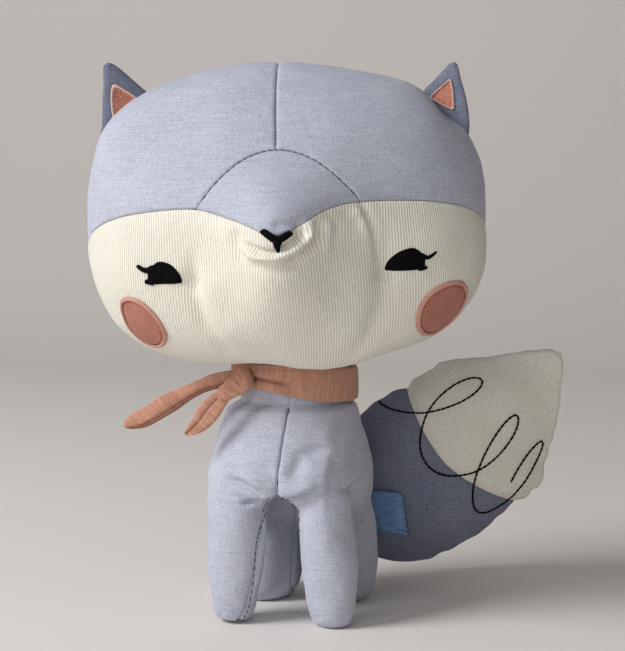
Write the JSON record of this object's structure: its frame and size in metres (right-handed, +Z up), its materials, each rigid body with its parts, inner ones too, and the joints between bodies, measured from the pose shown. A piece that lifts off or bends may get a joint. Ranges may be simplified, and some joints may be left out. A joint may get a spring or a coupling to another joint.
{
  "type": "plush fox",
  "caption": "Standing stuffed cloth fox with a wide pillow head, leaf-shaped tail, stubby legs and a knotted neck scarf.",
  "frame": {"origin": "middle of the footprint, on the surface that the fox stands on", "axes": "+Z up along the height, the fox faces -Y, its tail leans towards +X"},
  "size_m": [0.2082, 0.1714, 0.2483],
  "materials": {
    "blue_cotton": "plain woven cotton and linen cloth, matt, with fine slubs",
    "white_rib_cotton": "fine ribbed cotton, matt, ribs about 1.1 mm apart",
    "coral_cotton": "thin plain cotton, matt",
    "cheek_cotton": "plain cotton with a satin-stitched rim",
    "black_thread": "satin-stitched embroidery thread, slight sheen",
    "blue_ribbon": "woven ribbon, slight sheen",
    "fibre_stuffing": "loose polyester fibre, hidden inside"
  },
  "bodies": {
    "body": {"torso_cover_right": "blue_cotton", "torso_cover_left": "blue_cotton", "torso_filling": "fibre_stuffing", "front_leg_cover_left": "blue_cotton", "front_leg_filling_left": "fibre_stuffing", "front_leg_cover_right": "blue_cotton", "front_leg_filling_right": "fibre_stuffing", "hind_leg_cover_left": "blue_cotton", "hind_leg_filling_left": "fibre_stuffing", "hind_leg_cover_right": "blue_cotton", "hind_leg_filling_right": "fibre_stuffing"},
    "neck": {"neck_filling": "fibre_stuffing"},
    "head": {"crown_panel_left": "blue_cotton", "crown_panel_right": "blue_cotton", "muzzle_gusset": "blue_cotton", "face_panel": "white_rib_cotton", "head_back_left": "blue_cotton", "head_back_right": "blue_cotton", "head_filling": "fibre_stuffing", "eye_left": "black_thread", "cheek_left": "cheek_cotton", "eye_right": "black_thread", "cheek_right": "cheek_cotton", "nose_stitch": "black_thread"},
    "ear_flap_left": {"ear_left": "blue_cotton", "ear_lining_left": "coral_cotton"},
    "ear_flap_right": {"ear_right": "blue_cotton", "ear_lining_right": "coral_cotton"},
    "tail": {"tail_base_front": "blue_cotton", "tail_base_back": "blue_cotton", "tail_tip_front": "white_rib_cotton", "tail_tip_back": "white_rib_cotton", "tail_filling": "fibre_stuffing", "label_tab": "blue_ribbon"},
    "scarf": {"scarf_band": "coral_cotton", "scarf_knot": "coral_cotton"},
    "scarf_tail_long": {"scarf_end_long": "coral_cotton"},
    "scarf_tail_short": {"scarf_end_short": "coral_cotton"}
  },
  "joints": [
    {"name": "head_turn", "type": "hinge", "parent": "body", "child": "neck", "pos_m": [-0.01549, 0.0028, 0.116], "axis": [0, 0, 1], "range_deg": [-25, 25], "stiffness_Nm_per_rad": 0.35},
    {"name": "head_nod", "type": "hinge", "parent": "neck", "child": "head", "pos_m": [-0.01549, 0.0028, 0.116], "axis": [0.9925, 0.1219, 0], "range_deg": [-8, 8], "stiffness_Nm_per_rad": 1.2},
    {"name": "ear_left_fold", "type": "hinge", "parent": "head", "child": "ear_flap_left", "pos_m": [-0.08881, -0.01756, 0.22856], "axis": [0.7453, 0.0473, 0.665], "range_deg": [-20, 20], "stiffness_Nm_per_rad": 0.01},
    {"name": "ear_right_fold", "type": "hinge", "parent": "head", "child": "ear_flap_right", "pos_m": [0.05057, -0.00012, 0.23075], "axis": [0.8003, 0.142, -0.5826], "range_deg": [-20, 20], "stiffness_Nm_per_rad": 0.01},
    {"name": "tail_swing", "type": "hinge", "parent": "body", "child": "tail", "pos_m": [-0.00599, 0.0504, 0.047], "axis": [0, 0, 1], "range_deg": [0, 30], "stiffness_Nm_per_rad": 0.15},
    {"name": "scarf_turn", "type": "hinge", "parent": "body", "child": "scarf", "pos_m": [-0.01549, 0.0028, 0.0986], "axis": [0, 0, 1], "range_deg": [-20, 20]},
    {"name": "scarf_long_swing", "type": "hinge", "parent": "scarf", "child": "scarf_tail_long", "pos_m": [-0.03369, -0.0258, 0.1076], "axis": [0, 1, 0], "range_deg": [-20, 10], "stiffness_Nm_per_rad": 0.02},
    {"name": "scarf_short_swing", "type": "hinge", "parent": "scarf", "child": "scarf_tail_short", "pos_m": [-0.03369, -0.0258, 0.1076], "axis": [0, 1, 0], "range_deg": [-15, 12], "stiffness_Nm_per_rad": 0.02}
  ]
}
